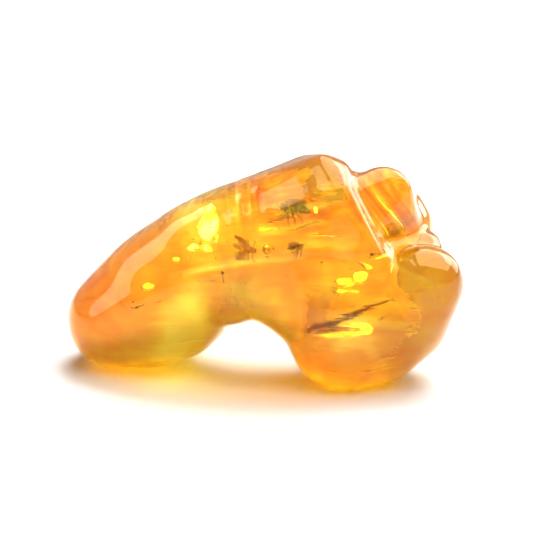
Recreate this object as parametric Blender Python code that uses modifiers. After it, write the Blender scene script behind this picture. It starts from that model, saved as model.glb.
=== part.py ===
# A polished amber nugget with three small flies and a sliver of plant sealed in it.
# Metres, +Z up. The nugget's length runs along X and its front looks towards -Y.
# Origin: on the surface that the nugget rests on, under the middle of its box.

from math import radians

import bmesh
import bpy
from mathutils import Euler, Matrix, Vector

# Driving dimensions, in metres
nugget_length = 0.0422
parting_y = -0.0007         # upright plane through the inclusions, where the halves part
parting_gap = 0.0003        # kept between the two halves
pocket_clearance = 0.0003   # kept around each inclusion
leg_thickness = 0.00011
wing_thickness = 0.00013
gnat_length = 0.0030
fly_length = 0.0024
midge_length = 0.0017
sliver_thickness = 0.0006

# One unit of the places below: a millimetre when the nugget is 42.2 mm long
unit = nugget_length / 42.2

# Surface quality
voxel_size = 0.5 * unit     # grid that melts the lumps into one skin
melt_steps = 5              # smoothing passes over the joined lumps
groove_steps = 5            # smoothing passes over the cut grooves
kept_share = 0.15           # share of the skin's triangles that the solids keep

# The lumps' own frame lies this far from the middle of the nugget's box
middle = Vector((0.06, 0.20, 0.0)) * unit

# Each lump: the middle's x, y and z, then its radius, then its depth radius along Y
lumps = {
    "toe": (-16.0, 2.9, 4.9, 5.2, 5.2),
    "heel": (-12.7, 2.6, 4.7, 4.9, 4.9),
    "calf": (-10.5, 2.2, 8.0, 7.2, 6.9),
    "thigh": (-6.2, 1.2, 11.8, 6.8, 6.9),
    "waist": (-1.6, 0.4, 14.8, 6.5, 6.6),
    "crown": (5.7, 0.7, 19.0, 5.3, 5.6),
    "belly": (4.7, -0.3, 15.4, 6.2, 6.6),
    "crest": (7.9, -4.4, 22.1, 1.3, 1.4),
    "crest_end": (10.6, -4.7, 17.0, 1.2, 1.3),
    "valley": (9.4, -2.5, 21.2, 1.3, 1.5),
    "valley_end": (11.6, -2.5, 17.6, 1.1, 1.5),
    "crest_foot": (7.7, -2.8, 14.2, 3.6, 4.0),
    "brow": (6.3, -1.8, 23.9, 1.3, 1.6),
    "brow_right": (8.0, -1.8, 23.3, 1.2, 1.5),
    "arch_left": (-3.5, 0.2, 8.9, 3.2, 5.6),
    "arch_top": (-0.9, -0.3, 10.1, 3.2, 5.8),
    "arch_fall": (1.9, -1.1, 8.7, 3.1, 5.8),
    "arch_right": (4.6, -1.8, 6.7, 3.2, 5.4),
    "shin": (6.6, -3.1, 9.6, 4.5, 5.6),
    "flank": (10.9, -1.5, 8.6, 5.3, 6.2),
    "hip": (11.5, 0.8, 8.2, 5.6, 5.8),
    "foot": (8.5, -2.8, 5.1, 5.9, 5.8),
    "sole": (11.7, -2.1, 5.3, 5.8, 5.6),
    "cheek": (14.7, -1.9, 7.1, 5.3, 5.6),
    "knob": (17.1, -3.9, 11.5, 4.2, 3.3),
    "shelf_front": (12.4, -3.6, 13.0, 1.5, 1.5),
    "shelf_right": (18.1, -1.3, 13.1, 1.4, 1.5),
    "shelf_back": (12.9, -0.1, 14.4, 1.8, 1.8),
    "shelf_end": (17.5, 0.7, 14.3, 1.5, 1.5),
    "back_upper": (12.7, 4.8, 18.2, 3.6, 3.8),
    "back_lower": (15.2, 4.2, 15.0, 3.2, 3.8),
    "nape": (8.7, 2.9, 15.4, 5.3, 4.4),
    "shoulder": (12.6, -0.8, 20.2, 3.3, 1.3),
    "ramp": (14.8, 1.8, 16.3, 2.1, 2.4),
}

# Each limb is the convex hull of its lumps
limbs = [
    ("toe", "heel", "calf"),
    ("calf", "thigh"),
    ("thigh", "waist"),
    ("waist", "crown", "belly", "brow", "brow_right", "crest", "crest_end", "crest_foot"),
    ("thigh", "waist", "arch_left"),
    ("waist", "arch_left", "arch_top"),
    ("waist", "belly", "arch_top", "arch_fall"),
    ("belly", "arch_fall", "arch_right", "shin", "crest_foot"),
    ("belly", "crest_foot", "shin", "flank"),
    ("crest_end", "crest_foot", "shelf_front", "flank"),
    ("shin", "flank", "hip", "foot", "sole", "cheek"),
    ("arch_right", "foot"),
    ("knob", "cheek"),
    ("nape", "back_upper"),
    ("valley", "valley_end", "shoulder", "ramp", "nape"),
    ("shoulder", "back_upper"),
    ("shoulder", "ramp"),
    ("ramp", "back_lower"),
    ("nape", "back_lower", "hip"),
    ("back_upper", "back_lower"),
    ("shelf_front", "shelf_right", "shelf_back", "shelf_end", "hip", "cheek"),
]

# The groove between the crown and the back lobes: x, y, z and radius of its balls
groove = [(10.3, -2.8, 25.9, 2.1), (10.7, -4.6, 23.8, 1.5)]

# Each insect: middle x and z, its turn in degrees about X, Y and Z, and its pocket's radii
gnat_seat = {"place": (3.7, 18.5), "turn": (0, 11, 180), "pocket": (2.6, 1.5, 1.7)}
fly_seat = {"place": (-1.8, 14.5), "turn": (70, 8, 0), "pocket": (2.1, 1.7, 1.9)}
midge_seat = {"place": (3.5, 14.8), "turn": (12, -4, 0), "pocket": (1.6, 1.3, 1.4)}

# The sliver's line: x and z of its points, and its thickness there as a share of the full one
sliver_line = [
    (6.1, 6.4, 0.35), (7.0, 6.8, 1.0), (8.3, 7.2, 0.8), (10.0, 7.5, 0.5), (12.0, 7.8, 0.35), (14.1, 8.0, 0.2),
]


def clear_scene():
    for old in list(bpy.data.objects):
        bpy.data.objects.remove(old, do_unlink=True)
    for old in list(bpy.data.collections):
        bpy.data.collections.remove(old)


def new_collection(name):
    collection = bpy.data.collections.new(name)
    bpy.context.scene.collection.children.link(collection)
    return collection


def mesh_object(name, bm, collection):
    mesh = bpy.data.meshes.new(name)
    bm.to_mesh(mesh)
    bm.free()
    made = bpy.data.objects.new(name, mesh)
    collection.objects.link(made)
    return made


def as_guide(made):
    made.hide_render = True
    made.display_type = "WIRE"
    return made


def finish(made, colour, roughness, smooth_angle=40):
    material = bpy.data.materials.new(made.name)
    material.use_nodes = True
    shader = material.node_tree.nodes["Principled BSDF"]
    shader.inputs["Base Color"].default_value = (*colour, 1.0)
    shader.inputs["Roughness"].default_value = roughness
    shader.inputs["Metallic"].default_value = 0.0
    made.data.materials.append(material)
    if made.type == "MESH":
        made.data.shade_smooth()
        made.data.set_sharp_from_angle(angle=radians(smooth_angle))
    return shader


def add_ball(bm, place, radii, turn=Matrix.Identity(4), across=8, around=6):
    size = Matrix.Diagonal((*radii, 1.0))
    matrix = Matrix.Translation(place) @ turn @ size
    bmesh.ops.create_uvsphere(bm, u_segments=across, v_segments=around, radius=1.0, matrix=matrix)


def add_rod(bm, start, end, start_radius, end_radius, sides=5):
    run = end - start
    turn = run.to_track_quat("Z", "Y").to_matrix().to_4x4()
    matrix = Matrix.Translation((start + end) / 2) @ turn
    bmesh.ops.create_cone(bm, cap_ends=True, segments=sides, radius1=start_radius,
                          radius2=end_radius, depth=run.length, matrix=matrix)


def hull(balls, across=24, around=12):
    bm = bmesh.new()
    for place, radii in balls:
        add_ball(bm, place, radii, across=across, around=around)
    bmesh.ops.delete(bm, geom=bm.edges[:], context="EDGES_FACES")
    bmesh.ops.convex_hull(bm, input=bm.verts[:])
    inner = [vert for vert in bm.verts if not vert.link_faces]
    bmesh.ops.delete(bm, geom=inner, context="VERTS")
    return bm


def lump_ball(name):
    x, y, z, radius, depth_radius = (value * unit for value in lumps[name])
    return Vector((x, y, z)) - middle, (radius, depth_radius, radius)


def add_skin(made, steps):
    remesh = made.modifiers.new("melt", "REMESH")
    remesh.mode = "VOXEL"
    remesh.voxel_size = voxel_size
    smooth = made.modifiers.new("smooth", "SMOOTH")
    smooth.factor = 0.5
    smooth.iterations = steps


def add_boolean(made, operation, other):
    cut = made.modifiers.new(operation.lower(), "BOOLEAN")
    cut.operation = operation
    cut.solver = "EXACT"
    if isinstance(other, bpy.types.Collection):
        cut.operand_type = "COLLECTION"
        cut.collection = other
    else:
        cut.object = other
    return cut


def make_groove(guides):
    balls = []
    for x, y, z, radius in groove:
        balls.append((Vector((x, y, z)) * unit - middle, [radius * unit] * 3))
    return as_guide(mesh_object("groove", hull(balls), guides))


def make_nugget(guides):
    """The whole outer shape: limbs melted together, one groove cut, few triangles kept."""
    bm = bmesh.new()
    for limb in limbs:
        one = hull([lump_ball(name) for name in limb])
        mesh = bpy.data.meshes.new("limb")
        one.to_mesh(mesh)
        one.free()
        bm.from_mesh(mesh)
        bpy.data.meshes.remove(mesh)
    nugget = as_guide(mesh_object("nugget", bm, guides))
    add_skin(nugget, melt_steps)
    add_boolean(nugget, "DIFFERENCE", make_groove(guides))
    add_skin(nugget, groove_steps)
    thin_out = nugget.modifiers.new("thin_out", "DECIMATE")
    thin_out.ratio = kept_share
    return nugget


def make_half(name, low_y, high_y, nugget, pockets, parts):
    """A block from the rest plane up, cut to the nugget's shape and hollowed for the inclusions."""
    reach = nugget_length
    low = Vector((-reach, low_y, 0.0))
    high = Vector((reach, high_y, reach))
    bm = bmesh.new()
    matrix = Matrix.Translation((low + high) / 2) @ Matrix.Diagonal((*(high - low), 1.0))
    bmesh.ops.create_cube(bm, size=1.0, matrix=matrix)
    half = mesh_object(name, bm, parts)
    shader = finish(half, colour=(0.86, 0.42, 0.03), roughness=0.03)
    shader.inputs["Transmission Weight"].default_value = 1.0
    shader.inputs["IOR"].default_value = 1.54
    add_boolean(half, "INTERSECT", nugget)
    add_boolean(half, "DIFFERENCE", pockets)
    return half


def add_leg(bm, root, knee, foot):
    thick = leg_thickness / 2
    add_rod(bm, root, knee, thick * 1.1, thick * 0.9)
    past_knee = knee + (knee - foot) * 0.03
    add_rod(bm, past_knee, foot, thick, thick * 0.6)


def make_insect(name, length, seat, legs, wing_spread, guides, parts, colour):
    """A small fly, head towards its own +X. Sizes inside are shares of its length."""
    bm = bmesh.new()
    turn_out = Matrix.Rotation(radians(-8), 4, "Y")
    add_ball(bm, Vector((0.20, 0, 0.03)) * length, [share * length for share in (0.18, 0.13, 0.15)])
    add_ball(bm, Vector((-0.19, 0, -0.01)) * length,
             [share * length for share in (0.31, 0.095, 0.11)], turn_out)
    for side in (-1, 1):
        wing_turn = Matrix.Rotation(radians(-side * wing_spread), 4, "Z") @ turn_out
        wing_root = Vector((0.20, side * 0.06, 0.13)) * length
        wing_middle = wing_root + wing_turn @ Vector((-0.33, 0, 0)) * length
        wing_radii = (0.36 * length, 0.12 * length, wing_thickness / 2)
        add_ball(bm, wing_middle, wing_radii, wing_turn, around=4)
        for root_x, knee_x, foot_x in legs:
            root = Vector((root_x, side * 0.04, -0.04)) * length
            knee = Vector((knee_x, side * 0.26, -0.10)) * length
            foot = Vector((foot_x, side * 0.30, -0.42)) * length
            add_leg(bm, root, knee, foot)
        feeler_root = Vector((0.42, side * 0.03, 0.03)) * length
        feeler_tip = Vector((0.62, side * 0.10, 0.10)) * length
        add_rod(bm, feeler_root, feeler_tip, leg_thickness * 0.4, leg_thickness * 0.25)
    insect = mesh_object(name, bm, parts)
    head_shape = bmesh.new()
    add_ball(head_shape, Vector((0.42, 0, 0.01)) * length, [share * length for share in (0.09, 0.1, 0.1)])
    head = as_guide(mesh_object(name + "_head", head_shape, guides))
    join = add_boolean(insect, "UNION", head)
    join.use_self = True
    x, z = seat["place"]
    for piece in (insect, head):
        piece.location = (x * unit, parting_y, z * unit)
        piece.rotation_euler = Euler([radians(angle) for angle in seat["turn"]])
    finish(insect, colour, roughness=0.6)
    return insect


def make_sliver(parts):
    """A thin torn strip of plant, tapering to its right end."""
    line = bpy.data.curves.new("plant_sliver", "CURVE")
    line.dimensions = "3D"
    line.bevel_depth = sliver_thickness / 2
    line.bevel_resolution = 1
    line.use_fill_caps = True
    spline = line.splines.new("POLY")
    spline.points.add(len(sliver_line) - 1)
    for point, (x, z, share) in zip(spline.points, sliver_line):
        point.co = (x * unit, parting_y, z * unit, 1.0)
        point.radius = share
    sliver = bpy.data.objects.new("plant_sliver", line)
    parts.objects.link(sliver)
    finish(sliver, colour=(0.11, 0.08, 0.02), roughness=0.8)
    return sliver


def make_pockets(guides):
    pockets = bpy.data.collections.new("pockets")
    guides.children.link(pockets)
    for name, seat in (("gnat", gnat_seat), ("fly", fly_seat), ("midge", midge_seat)):
        bm = bmesh.new()
        x, z = seat["place"]
        radii = [radius * unit for radius in seat["pocket"]]
        add_ball(bm, Vector((x * unit, parting_y, z * unit)), radii, across=14, around=8)
        as_guide(mesh_object(name + "_pocket", bm, pockets))
    balls = []
    for x, z, share in sliver_line:
        radius = share * sliver_thickness / 2 + 1.4 * pocket_clearance
        balls.append((Vector((x * unit, parting_y, z * unit)), [radius] * 3))
    as_guide(mesh_object("sliver_pocket", hull(balls, across=8, around=6), pockets))
    return pockets


def main():
    clear_scene()
    parts = new_collection("insect_in_amber")
    guides = new_collection("cutters")
    nugget = make_nugget(guides)
    pockets = make_pockets(guides)
    reach = nugget_length
    make_half("amber_front", -reach, parting_y - parting_gap / 2, nugget, pockets, parts)
    make_half("amber_back", parting_y + parting_gap / 2, reach, nugget, pockets, parts)
    long_legs = [(0.30, 0.42, 0.52), (0.20, 0.16, 0.10), (0.10, -0.14, -0.36)]
    short_legs = [(0.28, 0.36, 0.40), (0.20, 0.18, 0.14), (0.12, -0.02, -0.16)]
    make_insect("gnat", gnat_length, gnat_seat, short_legs, 9, guides, parts, (0.10, 0.09, 0.05))
    make_insect("fly", fly_length, fly_seat, long_legs, 24, guides, parts, (0.16, 0.07, 0.02))
    make_insect("midge", midge_length, midge_seat, short_legs, 14, guides, parts, (0.09, 0.07, 0.06))
    make_sliver(parts)


main()
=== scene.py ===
import math

import bmesh
import bpy
from mathutils import Matrix, Quaternion, Vector, noise


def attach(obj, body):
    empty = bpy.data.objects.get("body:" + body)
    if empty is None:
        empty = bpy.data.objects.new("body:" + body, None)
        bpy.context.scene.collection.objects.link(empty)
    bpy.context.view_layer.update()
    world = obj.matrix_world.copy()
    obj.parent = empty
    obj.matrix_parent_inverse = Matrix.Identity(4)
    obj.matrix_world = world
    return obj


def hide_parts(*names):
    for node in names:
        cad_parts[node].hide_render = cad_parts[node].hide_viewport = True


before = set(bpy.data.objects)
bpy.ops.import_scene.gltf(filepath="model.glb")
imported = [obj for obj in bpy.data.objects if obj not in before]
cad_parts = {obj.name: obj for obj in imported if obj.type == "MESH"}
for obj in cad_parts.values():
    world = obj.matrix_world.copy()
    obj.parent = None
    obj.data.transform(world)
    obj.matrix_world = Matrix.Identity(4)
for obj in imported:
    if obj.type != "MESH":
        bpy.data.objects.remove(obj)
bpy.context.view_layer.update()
mm = 0.001
print("frame loaded:", ", ".join(sorted(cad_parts)))


def linearColour(hexCode):
    channels = [int(hexCode[i:i + 2], 16) / 255 for i in (1, 3, 5)]
    linear = [c / 12.92 if c <= 0.04045 else ((c + 0.055) / 1.055) ** 2.4 for c in channels]
    return (*linear, 1.0)


def clamp(value, low=0, high=1):
    return max(low, min(high, value))


def turned(angles):
    # degrees about X, then Y, then Z
    turn = Matrix.Rotation(math.radians(angles[2]), 4, "Z") @ Matrix.Rotation(math.radians(angles[1]), 4, "Y")
    return turn @ Matrix.Rotation(math.radians(angles[0]), 4, "X")


def addNode(tree, kind, settings=None, links=None):
    node = tree.nodes.new(kind)
    for name, value in (settings or {}).items():
        if isinstance(name, int) or name in node.inputs:
            node.inputs[name].default_value = value
        else:
            setattr(node, name, value)
    for name, source in (links or {}).items():
        tree.links.new(source, node.inputs[name])
    return node


def addRamp(tree, tones, factor):
    # tones are (place, hex colour), from the first to the last
    node = addNode(tree, "ShaderNodeValToRGB", None, {"Fac": factor})
    stops = node.color_ramp.elements
    for stop, (place, tone) in ((stops[0], tones[0]), (stops[1], tones[-1])):
        stop.position = place
        stop.color = linearColour(tone)
    for place, tone in tones[1:-1]:
        stops.new(place).color = linearColour(tone)
    return node.outputs["Color"]


def newMaterial(name):
    material = bpy.data.materials.new(name)
    material.use_nodes = True
    tree = material.node_tree
    tree.nodes.clear()
    output = tree.nodes.new("ShaderNodeOutputMaterial")
    return material, tree, output


def addSurface(tree, output, settings, links=None):
    shader = addNode(tree, "ShaderNodeBsdfPrincipled", settings, links)
    tree.links.new(shader.outputs["BSDF"], output.inputs["Surface"])


def addPiece(name, bm, material, smooth=True):
    mesh = bpy.data.meshes.new(name)
    bm.to_mesh(mesh)
    bm.free()
    if smooth:
        mesh.shade_smooth()
    mesh.materials.append(material)
    piece = bpy.data.objects.new(name, mesh)
    bpy.context.scene.collection.objects.link(piece)
    return piece


def joinInto(whole, part):
    mesh = bpy.data.meshes.new("joining")
    part.to_mesh(mesh)
    part.free()
    whole.from_mesh(mesh)
    bpy.data.meshes.remove(mesh)


def applyModifiers(piece):
    graph = bpy.context.evaluated_depsgraph_get()
    baked = bpy.data.meshes.new_from_object(piece.evaluated_get(graph))
    piece.modifiers.clear()
    old = piece.data
    piece.data = baked
    bpy.data.meshes.remove(old)


# camera: level across, looking a little down on the nugget's front

camera = {
    "target": (0.6 * mm, -0.15 * mm, 11.55 * mm),
    "elevation": 20,           # degrees
    "distance": 0.35,          # metres
    "viewWidth": 57.78 * mm,   # what it takes in at the target
    "sensor": 36,
    "clipStart": 0.01,
}


def addCamera():
    data = bpy.data.cameras.new("camera")
    data.sensor_width = camera["sensor"]
    data.lens = camera["sensor"] * camera["distance"] / camera["viewWidth"]
    data.clip_start = camera["clipStart"]
    eye = bpy.data.objects.new("camera", data)
    tilt = math.radians(camera["elevation"])
    back = Vector((0, -math.cos(tilt), math.sin(tilt)))
    eye.location = Vector(camera["target"]) + back * camera["distance"]
    eye.rotation_euler = (math.radians(90 - camera["elevation"]), 0, 0)
    bpy.context.scene.collection.objects.link(eye)
    bpy.context.scene.camera = eye


addCamera()
print("camera placed")


# amber: Baltic resin, cut and tumble polished, so it is clear and wet looking

amber = {
    "middle": (0.06, 0.20, 0.0),
    # lumps are x, y, z of the middle, the radius and the depth radius, in mm
    "lumps": {
        "toe": (-16.0, 2.9, 4.9, 5.2, 5.2),
        "heel": (-12.7, 2.6, 4.7, 4.9, 4.9),
        "calf": (-10.5, 2.2, 8.0, 7.2, 6.9),
        "thigh": (-6.2, 1.2, 11.8, 6.8, 6.9),
        "waist": (-1.6, 0.4, 14.8, 6.5, 6.6),
        "crown": (5.7, 0.7, 19.0, 5.3, 5.6),
        "belly": (4.7, -0.3, 15.4, 6.2, 6.6),
        "crest": (7.9, -4.4, 22.1, 1.3, 1.4),
        "crestEnd": (10.6, -4.7, 17.0, 1.2, 1.3),
        "valley": (9.4, -2.5, 21.2, 1.3, 1.5),
        "valleyEnd": (11.6, -2.5, 17.6, 1.1, 1.5),
        "crestFoot": (7.7, -2.8, 14.2, 3.6, 4.0),
        "brow": (6.3, -1.8, 23.9, 1.3, 1.6),
        "browRight": (8.0, -1.8, 23.3, 1.2, 1.5),
        "archLeft": (-3.5, 0.2, 8.9, 3.2, 5.6),
        "archTop": (-0.9, -0.3, 10.1, 3.2, 5.8),
        "archFall": (1.9, -1.1, 8.7, 3.1, 5.8),
        "archRight": (4.6, -1.8, 6.7, 3.2, 5.4),
        "shin": (6.6, -3.1, 9.6, 4.5, 5.6),
        "flank": (10.9, -1.5, 8.6, 5.3, 6.2),
        "hip": (11.5, 0.8, 8.2, 5.6, 5.8),
        "foot": (8.5, -2.8, 5.1, 5.9, 5.8),
        "sole": (11.7, -2.1, 5.3, 5.8, 5.6),
        "cheek": (14.7, -1.9, 7.1, 5.3, 5.6),
        "knob": (17.1, -3.9, 11.5, 4.2, 3.3),
        "shelfFront": (12.4, -3.6, 13.0, 1.5, 1.5),
        "shelfRight": (18.1, -1.3, 13.1, 1.4, 1.5),
        "shelfBack": (12.9, -0.1, 14.4, 1.8, 1.8),
        "shelfEnd": (17.5, 0.7, 14.3, 1.5, 1.5),
        "backUpper": (12.7, 4.8, 18.2, 3.6, 3.8),
        "backLower": (15.2, 4.2, 15.0, 3.2, 3.8),
        "nape": (8.7, 2.9, 15.4, 5.3, 4.4),
        "shoulder": (12.6, -0.8, 20.2, 3.3, 1.3),
        "ramp": (14.8, 1.8, 16.3, 2.1, 2.4),
    },
    # each limb is the skin stretched over its lumps
    "limbs": [
        ("toe", "heel", "calf"),
        ("calf", "thigh"),
        ("thigh", "waist"),
        ("waist", "crown", "belly", "brow", "browRight", "crest", "crestEnd", "crestFoot"),
        ("thigh", "waist", "archLeft"),
        ("waist", "archLeft", "archTop"),
        ("waist", "belly", "archTop", "archFall"),
        ("belly", "archFall", "archRight", "shin", "crestFoot"),
        ("belly", "crestFoot", "shin", "flank"),
        ("crestEnd", "crestFoot", "shelfFront", "flank"),
        ("shin", "flank", "hip", "foot", "sole", "cheek"),
        ("archRight", "foot"),
        ("knob", "cheek"),
        ("nape", "backUpper"),
        ("valley", "valleyEnd", "shoulder", "ramp", "nape"),
        ("shoulder", "backUpper"),
        ("shoulder", "ramp"),
        ("ramp", "backLower"),
        ("nape", "backLower", "hip"),
        ("backUpper", "backLower"),
        ("shelfFront", "shelfRight", "shelfBack", "shelfEnd", "hip", "cheek"),
    ],
    # balls cut away between the middle and the right lobe: x, y, z and radius
    "groove": [(10.3, -2.8, 25.9, 2.1), (10.7, -4.6, 23.8, 1.5)],
    "ballSides": (48, 24),
    "voxel": 0.22,
    "meltSteps": 26,
    "grooveSteps": 24,
    # the left limb is tumbled rounder than the rest: the x where that starts, how far it takes
    # to be full, its smoothing passes, and what they shrink it by
    "limbStart": -3.5,
    "limbFade": 3,
    "limbSteps": 170,
    "limbSwell": 0.36,
    # shallow creases worn into the front: points (x, height seen from the camera side), width, depth
    "creases": [
        ([(-3.3, 21.1), (-3.1, 17.0)], 0.32, 0.07),
        ([(-2.4, 21.3), (-2.3, 16.8)], 0.30, -0.05),
        ([(-1.6, 21.4), (-1.5, 17.2)], 0.32, 0.07),
        ([(-0.7, 21.6), (-0.5, 17.0)], 0.30, -0.05),
        ([(-10.1, 9.8), (-3.1, 11.4), (3.9, 11.6)], 0.45, 0.08),
        ([(13.7, 11.6), (15.8, 10.4), (17.7, 9.7), (18.8, 7.9)], 0.45, 0.10),
        ([(3.3, 12.0), (6.0, 12.1), (9.2, 11.7)], 0.5, 0.10),
    ],
    # broad shallow dents: depth, size, and their share at x 0, the least, and mm to gain a whole share
    "dent": 0.14,
    "dentSize": 4.5,
    "dentShare": 0.4,
    "dentLeast": 0.05,
    "dentFade": 8,
    # wear starts where the skin faces the camera side by this much, and is full at this much
    "wearStart": 0.1,
    "wearFull": 0.5,
    "leastWear": 0.001,
    "sharpAngle": 50,          # degrees, round the resting flats
    "ior": 1.54,
    "clear": 0.91,
    # the way in is polished; on the way out through the far side the skin is cloudier
    "nearRoughness": 0.12,
    "farRoughness": 0.5,
    "polish": 0.02,
    "innerShine": (0.1, 0.1, 0.1, 1),
    # flow streaks: their lean in degrees, and their length, depth and spacing in mm
    "streakLean": 12,
    "streakSize": (9, 2.5, 1.3),
    "streakStrength": 0.25,
    "streakDepth": 0.35,
    "cloudSize": 5,
    # how far the clouds and the streaks shift the tone of a zone
    "cloudShift": 0.7,
    "streakShift": 0.5,
    # from the deepest orange zones to the clear yellow ones
    "skinTones": [(0.0, "#CA5E1C"), (0.2, "#D48628"), (0.45, "#D89A2E"), (0.75, "#E6C640"), (1.0, "#F4F280")],
    "absorbColour": (0.98, 0.845, 0.025, 1),
    "absorbDensity": 50,       # per metre
}


def hullOf(balls):
    bm = bmesh.new()
    around, along = amber["ballSides"]
    for place, radii in balls:
        matrix = Matrix.Translation(place) @ Matrix.Diagonal((*radii, 1))
        bmesh.ops.create_uvsphere(bm, u_segments=around, v_segments=along, radius=1, matrix=matrix)
    bmesh.ops.delete(bm, geom=bm.edges[:], context="EDGES_FACES")
    bmesh.ops.convex_hull(bm, input=bm.verts[:])
    inner = [vert for vert in bm.verts if not vert.link_faces]
    bmesh.ops.delete(bm, geom=inner, context="VERTS")
    return bm


def ballAt(x, y, z, radius, depth):
    place = (Vector((x, y, z)) - Vector(amber["middle"])) * mm
    return place, (radius * mm, depth * mm, radius * mm)


def addSkin(piece, steps):
    melt = piece.modifiers.new("melt", "REMESH")
    melt.mode = "VOXEL"
    melt.voxel_size = amber["voxel"] * mm
    ease = piece.modifiers.new("ease", "SMOOTH")
    ease.factor = 0.5
    ease.iterations = steps


def meltLimbs():
    joined = bmesh.new()
    for limb in amber["limbs"]:
        joinInto(joined, hullOf([ballAt(*amber["lumps"][name]) for name in limb]))
    piece = addPiece("amberNugget", joined, amberMaterial())
    addSkin(piece, amber["meltSteps"])
    applyModifiers(piece)
    return piece


def cutGroove(piece):
    balls = [ballAt(x, y, z, radius, radius) for x, y, z, radius in amber["groove"]]
    cutter = addPiece("grooveCutter", hullOf(balls), piece.data.materials[0])
    cut = piece.modifiers.new("groove", "BOOLEAN")
    cut.operation = "DIFFERENCE"
    cut.object = cutter
    addSkin(piece, amber["grooveSteps"])
    applyModifiers(piece)
    bpy.data.objects.remove(cutter, do_unlink=True)


def roundLimb(piece):
    limb = piece.vertex_groups.new(name="leftLimb")
    for vert in piece.data.vertices:
        share = clamp((amber["limbStart"] - vert.co.x / mm) / amber["limbFade"])
        limb.add([vert.index], share, "REPLACE")
    even = piece.modifiers.new("even", "SMOOTH")
    even.factor = 0.5
    even.iterations = amber["limbSteps"]
    even.vertex_group = limb.name
    swell = piece.modifiers.new("swell", "DISPLACE")
    swell.mid_level = 0
    swell.strength = amber["limbSwell"] * mm
    swell.vertex_group = limb.name
    applyModifiers(piece)


def frontSpot(place):
    # a point of the skin as x and height in mm, as seen from the camera side
    tilt = math.radians(camera["elevation"])
    return Vector((place.x, place.z * math.cos(tilt) + place.y * math.sin(tilt))) / mm


def lineGap(spot, points):
    gaps = []
    for start, end in zip(points, points[1:]):
        run = Vector(end) - Vector(start)
        share = clamp((spot - Vector(start)).dot(run) / run.length_squared)
        gaps.append((spot - Vector(start) - run * share).length)
    return min(gaps)


def wearCreases(bm):
    bm.normal_update()
    tilt = math.radians(camera["elevation"])
    towards = Vector((0, -math.cos(tilt), math.sin(tilt)))
    moved = []
    for vert in bm.verts:
        facing = vert.normal.dot(towards)
        if facing <= amber["wearStart"]:
            continue
        spot = frontSpot(vert.co)
        sink = 0
        for points, width, depth in amber["creases"]:
            sink += depth * math.exp(-(lineGap(spot, points) / width) ** 2)
        # the left limb is polished smoother than the rest
        share = clamp(amber["dentShare"] + spot.x / amber["dentFade"], amber["dentLeast"])
        sink += share * amber["dent"] * noise.noise(vert.co / (amber["dentSize"] * mm))
        if abs(sink) > amber["leastWear"]:
            moved.append((vert, vert.normal * -sink * mm * min(1, facing / amber["wearFull"])))
    for vert, shift in moved:
        vert.co += shift


# the resin's tones, with painted light among them, placed in the (x, height) view of the creases, in mm

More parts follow.
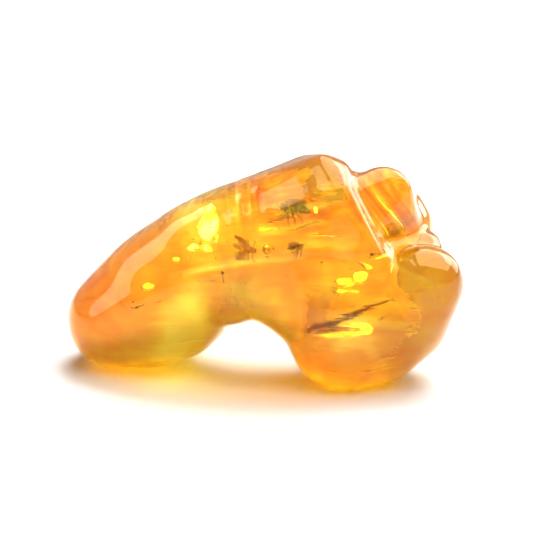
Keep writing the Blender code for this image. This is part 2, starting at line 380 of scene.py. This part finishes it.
resin = {
    "startTone": 0.45,
    "zonePull": 0.4,
    "streakPull": 0.5,
    # skin that faces down is tinted yellower, so the light it lets down onto the paper is yellow
    "underPull": 1.2,
    "underStart": 0.3,
    # how steeply a zone or a flow ends, and the share of a flow too faint to count
    "edgePower": 1.5,
    "faint": 0.01,
    # streaks run this deep; each flow draws from its own part of the noise, with a finer one on top
    "streakRun": 6,
    "flowStep": 7,
    "finerScale": 2.1,
    "finerShare": 0.5,
    # zones, some of them painted light: middle, two radii, and how far each goes towards clear yellow (+) or
    # deep orange (-)
    "zonesWithPaintedLight": [
        # partly painted light: the first zone here is the resin's clear yellow, made stronger to lift the
        # limb where it shows shadowed paper
        ((-8.4, 5.0), (3.0, 4.8), 1.5), ((-6.4, 16.0), (2.2, 4.2), 1.1),
        # painted light: the first zone here makes the upper left edge yellow, where light through the rim
        # makes it bright
        ((-6.6, 19.8), (2.4, 1.2), 0.9), ((-9.2, 17.4), (2.6, 1.6), 0.5),
        ((6.4, 15.0), (3.2, 1.5), 0.3), ((6.6, 9.2), (3.0, 3.0), 0.45),
        # painted glint: the second zone here paints the big crack lens's glint yellow, low on the right
        ((2.6, 17.2), (2.8, 0.8), 0.4), ((9.2, 4.9), (2.4, 1.2), 1.0),
        # painted light: the first zone here lightens the right foot where it falls dark in shade
        ((17.2, 3.4), (1.8, 1.8), 0.6), ((-2.9, 20.2), (0.9, 1.3), -1.4),
        # painted light: the second zone here lightens the crown where it falls dark in shade
        ((-17.4, 8.8), (4.2, 6.0), -0.7), ((7.0, 19.2), (2.2, 0.9), 0.7),
        ((9.3, 21.0), (1.3, 1.0), -0.4), ((3.6, 12.6), (3.2, 0.8), -0.5),
        ((13.4, 0.4), (7.0, 2.0), -0.3), ((5.6, 2.4), (2.2, 2.6), -0.6),
        # painted light: the first zone here lightens the knob where it falls dark in shade
        ((17.2, 10.2), (3.4, 3.4), 0.65), ((-0.2, 18.6), (1.2, 1.8), -0.3),
        ((13.0, 18.2), (4.0, 3.6), -0.8), ((4.6, 8.6), (1.8, 2.4), -0.4),
        # painted light: the second zone here lightens the waist over the arch where it falls dark in shade
        ((-1.6, 12.9), (3.0, 2.2), 0.3), ((-3.0, 8.4), (2.4, 2.2), 0.2),
        # painted light: the first zone here lightens the heel's underside where it falls dark in shade
        ((-12.4, 2.4), (2.8, 1.4), 0.5), ((9.4, 11.2), (2.2, 1.6), 0.05),
        ((-9.8, 9.2), (2.0, 2.0), -0.8), ((4.0, 10.2), (2.0, 1.6), -0.4),
        # painted light: this zone lightens the crown where it falls dark in shade
        ((5.6, 20.6), (2.6, 1.4), 0.5),
    ],
    # streaks of flow: middle, two radii, lean in degrees, length and width of a streak, strength
    "flows": [
        ((-2.0, 18.8), (2.3, 3.0), 97, 7.0, 0.55, 1.5),
        ((13.2, 18.2), (4.6, 4.2), -50, 7.0, 0.55, 1.7),
        ((3.4, 16.8), (5.4, 3.4), 13, 6.0, 0.60, 0.9),
        ((-5.5, 13.4), (3.4, 1.9), 14, 3.0, 0.55, 0.6),
        ((10.5, 4.0), (7.5, 4.2), -12, 8.0, 1.20, 0.6),
        ((13.8, 9.6), (4.6, 2.6), -16, 8.0, 0.90, 0.4),
        ((-11.0, 8.5), (6.0, 6.5), 48, 9.0, 1.40, 0.35),
    ],
    # thin veins along old flow fronts, and a painted highlight: points, width, paler (+) or darker (-)
    "veinsAndPaintedHighlight": [
        # painted highlight: the first two are a pale line along the fold low across the front
        ([(-8.4, 10.3), (-5.6, 10.9), (-3.1, 11.3), (0.6, 11.9), (4.2, 12.0)], 0.30, 0.9),
        ([(-5.6, 10.9), (-3.1, 11.6), (-0.4, 11.9)], 0.30, 0.5),
        ([(-7.2, 18.0), (-5.8, 18.4), (-4.2, 18.6)], 0.20, -1.2),
        ([(13.7, 11.4), (15.8, 10.2), (17.4, 9.5), (18.6, 7.6)], 0.26, 0.6),
        ([(2.0, 12.6), (5.0, 13.4), (8.6, 13.0)], 0.35, 0.5),
        ([(1.2, 16.6), (3.2, 17.3), (6.2, 17.5)], 0.35, 0.7),
        ([(0.8, 15.9), (3.6, 16.1), (6.6, 16.6)], 0.30, -0.5),
        ([(-5.6, 16.9), (-3.9, 16.8)], 0.22, -0.8),
    ],
}


def ringShare(offset, radii):
    # 1 in the middle of an ellipse, falling to nothing past its edge
    gap = (offset.x / radii[0]) ** 2 + (offset.y / radii[1]) ** 2
    return math.exp(-gap ** resin["edgePower"])


def streakAt(spot, depth):
    total = 0
    for number, (middle, radii, lean, length, width, strength) in enumerate(resin["flows"]):
        offset = spot - Vector(middle)
        share = ringShare(offset, radii)
        if share < resin["faint"]:
            continue
        angle = math.radians(lean)
        along = offset.x * math.cos(angle) + offset.y * math.sin(angle)
        across = offset.y * math.cos(angle) - offset.x * math.sin(angle)
        inward = depth / resin["streakRun"] + number * resin["flowStep"]
        where = Vector((along / length, across / width, inward))
        finer = resin["finerShare"] * noise.noise(where * resin["finerScale"])
        total += share * strength * (noise.noise(where) + finer)
    return total


def markZones(bm):
    bm.normal_update()
    layer = bm.verts.layers.float.new("resinToneAndPaintedLight")
    for vert in bm.verts:
        spot = frontSpot(vert.co)
        total = 0
        for middle, radii, pull in resin["zonesWithPaintedLight"]:
            total += pull * ringShare(spot - Vector(middle), radii)
        if vert.co.y < 0:   # the veins are in the front
            for points, width, pull in resin["veinsAndPaintedHighlight"]:
                total += pull * math.exp(-(lineGap(spot, points) / width) ** 2)
        total += resin["underPull"] * max(0, -vert.normal.z - resin["underStart"])
        streaks = resin["streakPull"] * streakAt(spot, vert.co.y / mm)
        vert[layer] = clamp(resin["startTone"] + resin["zonePull"] * total + streaks)


# tumble polished amber: a wet shine over a honey depth, clouded into orange and yellow zones, with painted
# light among them

def amberMaterial():
    material, tree, output = newMaterial("tumblePolishedAmber")
    spot = addNode(tree, "ShaderNodeTexCoord").outputs["Object"]
    flow = addNode(tree, "ShaderNodeMapping", {
        "Rotation": (0, math.radians(amber["streakLean"]), 0),
        "Scale": [1 / (size * mm) for size in amber["streakSize"]]}, {"Vector": spot})
    streaks = addNode(tree, "ShaderNodeTexNoise", {
        "Scale": 1.0, "Detail": 3.0, "Roughness": 0.55, "Distortion": 0.6},
        {"Vector": flow.outputs["Vector"]})
    bump = addNode(tree, "ShaderNodeBump", {
        "Strength": amber["streakStrength"], "Distance": amber["streakDepth"] * mm},
        {"Height": streaks.outputs["Fac"]})
    clouds = addNode(tree, "ShaderNodeTexNoise", {
        "Scale": 1 / (amber["cloudSize"] * mm), "Detail": 3.0, "Roughness": 0.55, "Distortion": 0.8},
        {"Vector": spot})
    # the zone is broken up by the clouds and by the flow streaks
    zone = addNode(tree, "ShaderNodeAttribute", {"attribute_name": "resinToneAndPaintedLight"})
    shifts = []
    for pattern, shift in ((clouds, amber["cloudShift"]), (streaks, amber["streakShift"])):
        centred = addNode(tree, "ShaderNodeMath", {"operation": "MULTIPLY_ADD", 1: shift, 2: -shift / 2},
                          {0: pattern.outputs["Fac"]})
        shifts.append(centred.outputs[0])
    broken = addNode(tree, "ShaderNodeMath", {"operation": "ADD"}, {0: shifts[0], 1: shifts[1]})
    pull = addNode(tree, "ShaderNodeMath", {"operation": "ADD"},
                   {0: zone.outputs["Fac"], 1: broken.outputs[0]})
    tint = addRamp(tree, amber["skinTones"], pull.outputs[0])
    side = addNode(tree, "ShaderNodeNewGeometry")
    haze = addNode(tree, "ShaderNodeMapRange", {
        "To Min": amber["nearRoughness"], "To Max": amber["farRoughness"]},
        {"Value": side.outputs["Backfacing"]})
    addSurface(tree, output, {
        "IOR": amber["ior"], "Transmission Weight": amber["clear"], "Specular Tint": amber["innerShine"],
        "Coat Weight": 1, "Coat Roughness": amber["polish"], "Coat IOR": amber["ior"]},
        {"Base Color": tint, "Roughness": haze.outputs["Result"], "Normal": bump.outputs["Normal"]})
    absorb = addNode(tree, "ShaderNodeVolumeAbsorption", {
        "Color": amber["absorbColour"], "Density": amber["absorbDensity"]})
    tree.links.new(absorb.outputs["Volume"], output.inputs["Volume"])
    return material


# stress cracks and air bubbles: thin lenses of air that mirror the lamps as bright spangles
# each crack is its middle in mm, its two radii, and its turn in degrees

cracks = {
    "gap": 0.05,
    "sides": (28, 14),
    "roughness": 0.12,
    # how far a crack's face ripples, in mm, and how far its rim strays, as a share of its radius
    "ripple": 0.04,
    "rippleScale": 1.6,
    "ragged": 0.2,
    "raggedScale": 2.2,
    "lenses": [
        ((-5.4, -1.1, 16.6), (1.00, 2.10), (24, -2, -16)),
        ((-5.8, -0.7, 17.8), (0.80, 0.60), (20, -16, 0)),
        ((-4.7, -0.8, 15.3), (0.35, 0.60), (20, 1, 0)),
        ((-6.9, -1.0, 14.1), (0.60, 0.38), (21, -2, 10)),
        ((-5.5, -1.0, 14.1), (0.55, 0.34), (21, 6, -15)),
        ((-8.7, -1.0, 12.9), (0.40, 0.28), (24, -3, 0)),
        ((-11.9, -1.5, 10.2), (0.80, 0.55), (28, -17, 0)),
        ((10.4, -1.5, 12.8), (0.35, 0.80), (15, -12, 30)),
        ((8.2, -1.5, 10.7), (1.10, 0.90), (9, 5, 0)),
        ((9.7, -1.5, 11.5), (0.80, 1.50), (11, -2, -10)),
        ((8.2, -1.5, 9.7), (1.20, 0.60), (9, -4, 0)),
        ((8.8, -1.5, 6.1), (2.40, 1.20), (23, 0, 0)),
        ((5.7, -1.2, 18.9), (0.25, 0.50), (23, 12, 0)),
        ((13.2, -2.0, 11.9), (0.50, 0.50), (5, -3, 0)),
        ((8.9, -2.0, 21.6), (0.45, 0.80), (16, 12, 30)),
        ((11.3, -2.0, 13.7), (0.60, 0.50), (17, 9, 0)),
        ((2.9, 0.2, 17.6), (2.30, 0.24), (22, -26, 0)),
        ((6.6, 0.8, 15.6), (1.90, 0.16), (18, -6, 0)),
        ((4.6, 0.5, 16.6), (2.20, 0.14), (20, -22, 0)),
        ((0.6, 0.6, 15.9), (1.30, 0.10), (20, -9, 0)),
        ((12.6, 0.7, 18.2), (2.20, 0.24), (22, 47, 0)),
        ((11.4, 0.2, 17.2), (1.60, 0.16), (22, 44, 0)),
    ],
    # middle in mm and radius
    "bubbles": [((0.5, -0.8, 14.5), 0.42), ((1.2, -1.2, 14.9), 0.16), ((5.9, -2.0, 12.8), 0.12),
                ((-7.4, -1.0, 13.1), 0.14), ((3.0, 1.0, 11.4), 0.16), ((12.6, -2.4, 9.2), 0.13),
                ((-12.9, 0.4, 7.5), 0.12), ((-3.6, -2.0, 16.9), 0.10), ((10.4, -1.4, 17.9), 0.12)],
}


# air in a stress crack: a clear bare face, which flashes gold where it turns the light back

def crackMaterial():
    material, tree, output = newMaterial("airInStressCrack")
    addSurface(tree, output, {
        "Base Color": (1, 1, 1, 1), "Roughness": cracks["roughness"], "IOR": amber["ior"],
        "Transmission Weight": 1})
    return material


def hollowOut(bm, place, radii, turn=(0, 0, 0), ripple=0, ragged=0):
    around, along = cracks["sides"]
    made = bmesh.ops.create_uvsphere(bm, u_segments=around, v_segments=along, radius=1,
                                     matrix=Matrix.Diagonal((*[r * mm for r in radii], 1)))
    for vert in made["verts"]:
        vert.co.z += noise.noise(vert.co / mm * cracks["rippleScale"] + Vector(place)) * ripple * mm
        edge = noise.noise(vert.co / mm * cracks["raggedScale"] - Vector(place))
        vert.co.xy *= 1 + ragged * edge
    matrix = Matrix.Translation(Vector(place) * mm) @ turned(turn)
    bmesh.ops.transform(bm, matrix=matrix, verts=made["verts"])
    faces = {face for vert in made["verts"] for face in vert.link_faces}
    bmesh.ops.reverse_faces(bm, faces=list(faces))
    for face in faces:
        face.material_index = 1   # the nugget's second slot is the crack's air
        face.smooth = True


def addCavities(shaped):
    hollow = bmesh.new()
    for place, radii, turn in cracks["lenses"]:
        hollowOut(hollow, place, (*radii, cracks["gap"]), turn, cracks["ripple"], cracks["ragged"])
    for place, radius in cracks["bubbles"]:
        hollowOut(hollow, place, [radius] * 3)
    joinInto(shaped, hollow)


def cutFlats(shaped):
    every = shaped.verts[:] + shaped.edges[:] + shaped.faces[:]
    cut = bmesh.ops.bisect_plane(shaped, geom=every, plane_co=(0, 0, 0), plane_no=(0, 0, 1), clear_inner=True)
    rims = [part for part in cut["geom_cut"] if isinstance(part, bmesh.types.BMEdge)]
    bmesh.ops.holes_fill(shaped, edges=rims)
    bmesh.ops.triangulate(shaped, faces=[face for face in shaped.faces if len(face.verts) > 4])


def makeAmber():
    piece = meltLimbs()
    cutGroove(piece)
    roundLimb(piece)
    shaped = bmesh.new()
    shaped.from_mesh(piece.data)
    wearCreases(shaped)
    markZones(shaped)
    cutFlats(shaped)
    addCavities(shaped)
    shaped.to_mesh(piece.data)
    shaped.free()
    piece.data.shade_smooth()
    piece.data.set_sharp_from_angle(angle=math.radians(amber["sharpAngle"]))
    piece.data.materials.append(crackMaterial())
    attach(piece, "root")
    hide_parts("amber_front", "amber_back")
    print("amber nugget:", len(piece.data.polygons), "faces")


makeAmber()


# crumbs of bark and dust caught in the resin

crumbs = {
    "tones": [(0, "#4A2008"), (1, "#8A4A18")],
    "grain": 0.15,             # mm, the size of the specks
    "roughness": 0.8,
    # each crumb: middle in mm and size; it is drawn out, turned on from the last one and knobbly
    "dark": [((-4.4, -3.0, 12.6), 0.22), ((-4.4, -3.0, 11.8), 0.16), ((-7.1, -3.0, 10.5), 0.10),
             ((-3.5, -3.0, 11.0), 0.10), ((-1.7, -3.0, 11.7), 0.09), ((-2.3, -3.0, 11.5), 0.07),
             ((11.1, -3.0, 12.3), 0.09), ((8.5, -3.0, 15.1), 0.09), ((10.9, -3.0, 14.4), 0.14),
             ((-6.9, -1.0, 14.9), 0.11), ((-6.2, -1.0, 14.6), 0.13), ((-5.6, -1.0, 14.3), 0.12),
             ((-5.0, -1.0, 14.7), 0.09), ((-7.6, -1.0, 15.3), 0.08), ((1.4, -3.0, 11.5), 0.08),
             ((-13.6, -2.0, 8.7), 0.12), ((8.7, -1.0, 12.0), 0.09), ((5.0, -2.0, 7.0), 0.12),
             ((-4.9, -1.0, 13.5), 0.08), ((-3.6, -1.0, 15.0), 0.07)],
    "shape": (1.3, 0.8, 1),
    "turnOn": (40, 70, 0),
    "knobScale": 9,
    "knobs": 0.8,
    # each streak: middle, length, width and lean in degrees; it waves by a share of its width
    "streaks": [((-13.2, -2.6, 8.5), 1.7, 0.10, -14), ((-4.4, -3.0, 12.2), 0.9, 0.07, 84),
                ((-11.0, -2.0, 9.0), 0.8, 0.05, -20), ((12.3, -2.0, 7.1), 1.6, 0.05, -6),
                ((-5.8, -2.8, 11.7), 2.4, 0.04, -7), ((6.0, -2.0, 7.0), 1.3, 0.12, -20)],
    "waveScale": 2.2,
    "wave": 1.6,
}


# rotted bark: dull brown grains with lighter specks

def debrisMaterial():
    material, tree, output = newMaterial("rottedBarkCrumb")
    spot = addNode(tree, "ShaderNodeTexCoord").outputs["Object"]
    grain = addNode(tree, "ShaderNodeTexNoise", {"Scale": 1 / (crumbs["grain"] * mm), "Detail": 2.0},
                    {"Vector": spot})
    tone = addRamp(tree, crumbs["tones"], grain.outputs["Fac"])
    addSurface(tree, output, {"Roughness": crumbs["roughness"]}, {"Base Color": tone})
    return material


def makeCrumbs():
    bm = bmesh.new()
    for number, (place, size) in enumerate(crumbs["dark"]):
        middle = Vector(place) * mm
        matrix = Matrix.Translation(middle) @ turned([number * angle for angle in crumbs["turnOn"]])
        made = bmesh.ops.create_icosphere(bm, subdivisions=2, radius=size / 2 * mm,
                                          matrix=matrix @ Matrix.Diagonal((*crumbs["shape"], 1)))
        for vert in made["verts"]:
            knob = noise.noise(vert.co / mm * crumbs["knobScale"]) * crumbs["knobs"]
            vert.co += (vert.co - middle) * knob
    for place, length, width, lean in crumbs["streaks"]:
        matrix = Matrix.Translation(Vector(place) * mm) @ turned((0, lean, 0))
        drawnOut = Matrix.Diagonal((length * mm, width * mm, width * mm, 1))
        made = bmesh.ops.create_icosphere(bm, subdivisions=3, radius=0.5, matrix=matrix @ drawnOut)
        for vert in made["verts"]:
            vert.co.z += noise.noise(vert.co / mm * crumbs["waveScale"]) * width * crumbs["wave"] * mm
    piece = addPiece("barkCrumbs", bm, debrisMaterial())
    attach(piece, "root")


makeCrumbs()
print("crumbs of bark placed")


# insects and the sliver: their soft parts have rotted to thin brown husks that let light through
# tones run from the thin clear places to the thick ones; grain is the size of the mottling in mm
# the seat is an insect's place, turn and length in the resin: above its back, the wings take the wing tone

husks = {
    "gnat": {"name": "gnatHusk", "tones": ("#E0E4C0", "#969A74"), "grain": 0.35, "clear": 0.88,
             "wing": "#F0E8D0", "seat": ((3.7, -0.7, 18.5), (0, 11, 180), 3.0)},
    "fly": {"name": "flyHusk", "tones": ("#F0DCB0", "#B48850"), "grain": 0.30, "clear": 0.93,
            "wing": "#F0DCB4", "seat": ((-1.8, -0.7, 14.5), (70, 8, 0), 2.4)},
    "midge": {"name": "midgeHusk", "tones": ("#E0D6BC", "#9A8C70"), "grain": 0.30, "clear": 0.88,
              "wing": "#F0E4C8", "seat": ((3.5, -0.7, 14.8), (12, -4, 0), 1.7)},
    "plant_sliver": {"name": "plantSliver", "tones": ("#C89C48", "#745420"), "grain": 0.50, "clear": 0.65},
}

# what all the husks share
husk = {
    # where the mottling turns from the thin tone to the thick one
    "thin": 0.35,
    "thick": 0.62,
    # heights above the back, as shares of the insect's length, between which the wing tone comes in
    "wingStart": 0.09,
    "wingFull": 0.15,
    "bumpStrength": 0.4,
    "bumpDepth": 0.08,
    "roughness": 0.5,
    "ior": 1.08,   # sealed in resin, a husk bends light hardly at all
}


# husks: soft translucent brown, mottled, with wings clearer than the bodies

def huskMaterial(name, tones, grain, clear, wing=None, seat=None):
    material, tree, output = newMaterial(name)
    spot = addNode(tree, "ShaderNodeTexCoord").outputs["Object"]
    mottle = addNode(tree, "ShaderNodeTexNoise", {"Scale": 1 / (grain * mm), "Detail": 4.0, "Roughness": 0.6},
                     {"Vector": spot})
    colour = addRamp(tree, [(husk["thin"], tones[0]), (husk["thick"], tones[1])], mottle.outputs["Fac"])
    if seat:
        place, turn, length = seat
        own = addNode(tree, "ShaderNodeMapping", {
            "vector_type": "TEXTURE", "Location": [v * mm for v in place],
            "Rotation": [math.radians(angle) for angle in turn], "Scale": [length * mm] * 3},
            {"Vector": spot})
        upright = addNode(tree, "ShaderNodeSeparateXYZ", None, {"Vector": own.outputs["Vector"]})
        onWing = addNode(tree, "ShaderNodeMapRange", {
            "From Min": husk["wingStart"], "From Max": husk["wingFull"]}, {"Value": upright.outputs["Z"]})
        # of the colour mix, input 0 is the factor, 6 and 7 are its two colours, and output 2 is the result
        wings = addNode(tree, "ShaderNodeMix", {"data_type": "RGBA", 7: linearColour(wing)},
                        {0: onWing.outputs["Result"], 6: colour})
        colour = wings.outputs[2]
    bump = addNode(tree, "ShaderNodeBump", {
        "Strength": husk["bumpStrength"], "Distance": husk["bumpDepth"] * mm},
        {"Height": mottle.outputs["Fac"]})
    addSurface(tree, output, {
        "Roughness": husk["roughness"], "IOR": husk["ior"], "Transmission Weight": clear},
        {"Base Color": colour, "Normal": bump.outputs["Normal"]})
    return material


def dressHusks():
    for nodeName, look in husks.items():
        material = huskMaterial(**look)
        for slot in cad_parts[nodeName].material_slots:
            slot.material = material


dressHusks()
print("insects and sliver given their materials")


# studio: pale paper, soft lamps all round and a white room

studio = {
    "floorColour": "#E2E2E2",
    "floorRoughness": 0.9,
    "floorReach": 3,           # metres each way
    # the paper lies this far below the resting faces, which would flicker in the same plane
    "floorDrop": 0.05 * mm,
    "worldStrength": 0.66,
    "exposure": -0.48,
    "look": "High Contrast",
    # light passes many skins on its way through the nugget and its cracks
    "bounces": 24,
    "glossyBounces": 12,
    # each softbox is its middle, its width and height in metres, and how bright its face is;
    # it may be hidden from reflections, and only the ones marked paper light the paper
    "softboxes": {
        "overheadLeft": {"place": (-0.183, -0.15, 0.34), "aim": (-0.183, -0.15, 0), "size": (0.08, 0.26),
                         "radiance": 2.4},
        "overhead": {"place": (0.235, 0.03, 0.34), "aim": (0.235, 0.03, 0), "size": (0.64, 0.54),
                     "radiance": 2.75, "paper": True},
        "key": {"place": (0.10, 0.20, 0.40), "size": (0.36, 0.28), "radiance": 9.0, "gloss": False,
                "paper": True},
        "fill": {"place": (-0.05, -0.42, 0.06), "size": (0.50, 0.20), "radiance": 5.5, "gloss": False},
        "left": {"place": (-0.474, 0.029, 0.223), "size": (0.150, 0.70), "radiance": 2.3, "roll": 53,
                 "paper": True},
        "rightBack": {"place": (0.34, 0.20, 0.22), "size": (0.32, 0.36), "radiance": 3.8},
    },
}


# paper sweep: matt and near white, so it takes up the amber's warm glow

def addFloor():
    material, tree, output = newMaterial("pale paper sweep")
    addSurface(tree, output, {
        "Base Color": linearColour(studio["floorColour"]), "Roughness": studio["floorRoughness"]})
    bm = bmesh.new()
    bmesh.ops.create_grid(bm, x_segments=1, y_segments=1, size=studio["floorReach"],
                          matrix=Matrix.Translation((0, 0, -studio["floorDrop"])))
    floor = addPiece("floor", bm, material, smooth=False)


def addSoftbox(name, place, size, radiance, aim=(0, 0, 0.01), roll=0, gloss=True, paper=False):
    light = bpy.data.lights.new(name, "AREA")
    light.shape = "RECTANGLE"
    light.size, light.size_y = size
    light.energy = radiance * math.pi * size[0] * size[1]
    lamp = bpy.data.objects.new(name, light)
    lamp.location = place
    lamp.rotation_mode = "QUATERNION"
    facing = (Vector(place) - Vector(aim)).to_track_quat("Z", "Y")
    lamp.rotation_quaternion = facing @ Quaternion((0, 0, 1), math.radians(roll))
    lamp.visible_glossy = gloss
    lamp.visible_diffuse = paper
    bpy.context.scene.collection.objects.link(lamp)


def addWorld():
    world = bpy.data.worlds.new("whiteStudio")
    world.use_nodes = True
    background = world.node_tree.nodes["Background"]
    background.inputs["Color"].default_value = (1, 1, 1, 1)
    background.inputs["Strength"].default_value = studio["worldStrength"]
    # the room is seen through and in the amber, and the lamps alone light the paper
    world.cycles_visibility.diffuse = False
    bpy.context.scene.world = world


def setView():
    scene = bpy.context.scene
    scene.view_settings.view_transform = "Standard"
    scene.view_settings.look = studio["look"]
    scene.view_settings.exposure = studio["exposure"]
    scene.cycles.max_bounces = studio["bounces"]
    scene.cycles.transmission_bounces = studio["bounces"]
    scene.cycles.glossy_bounces = studio["glossyBounces"]


addFloor()
for lampName, softbox in studio["softboxes"].items():
    addSoftbox(lampName, **softbox)
addWorld()
setView()
print("studio lit")
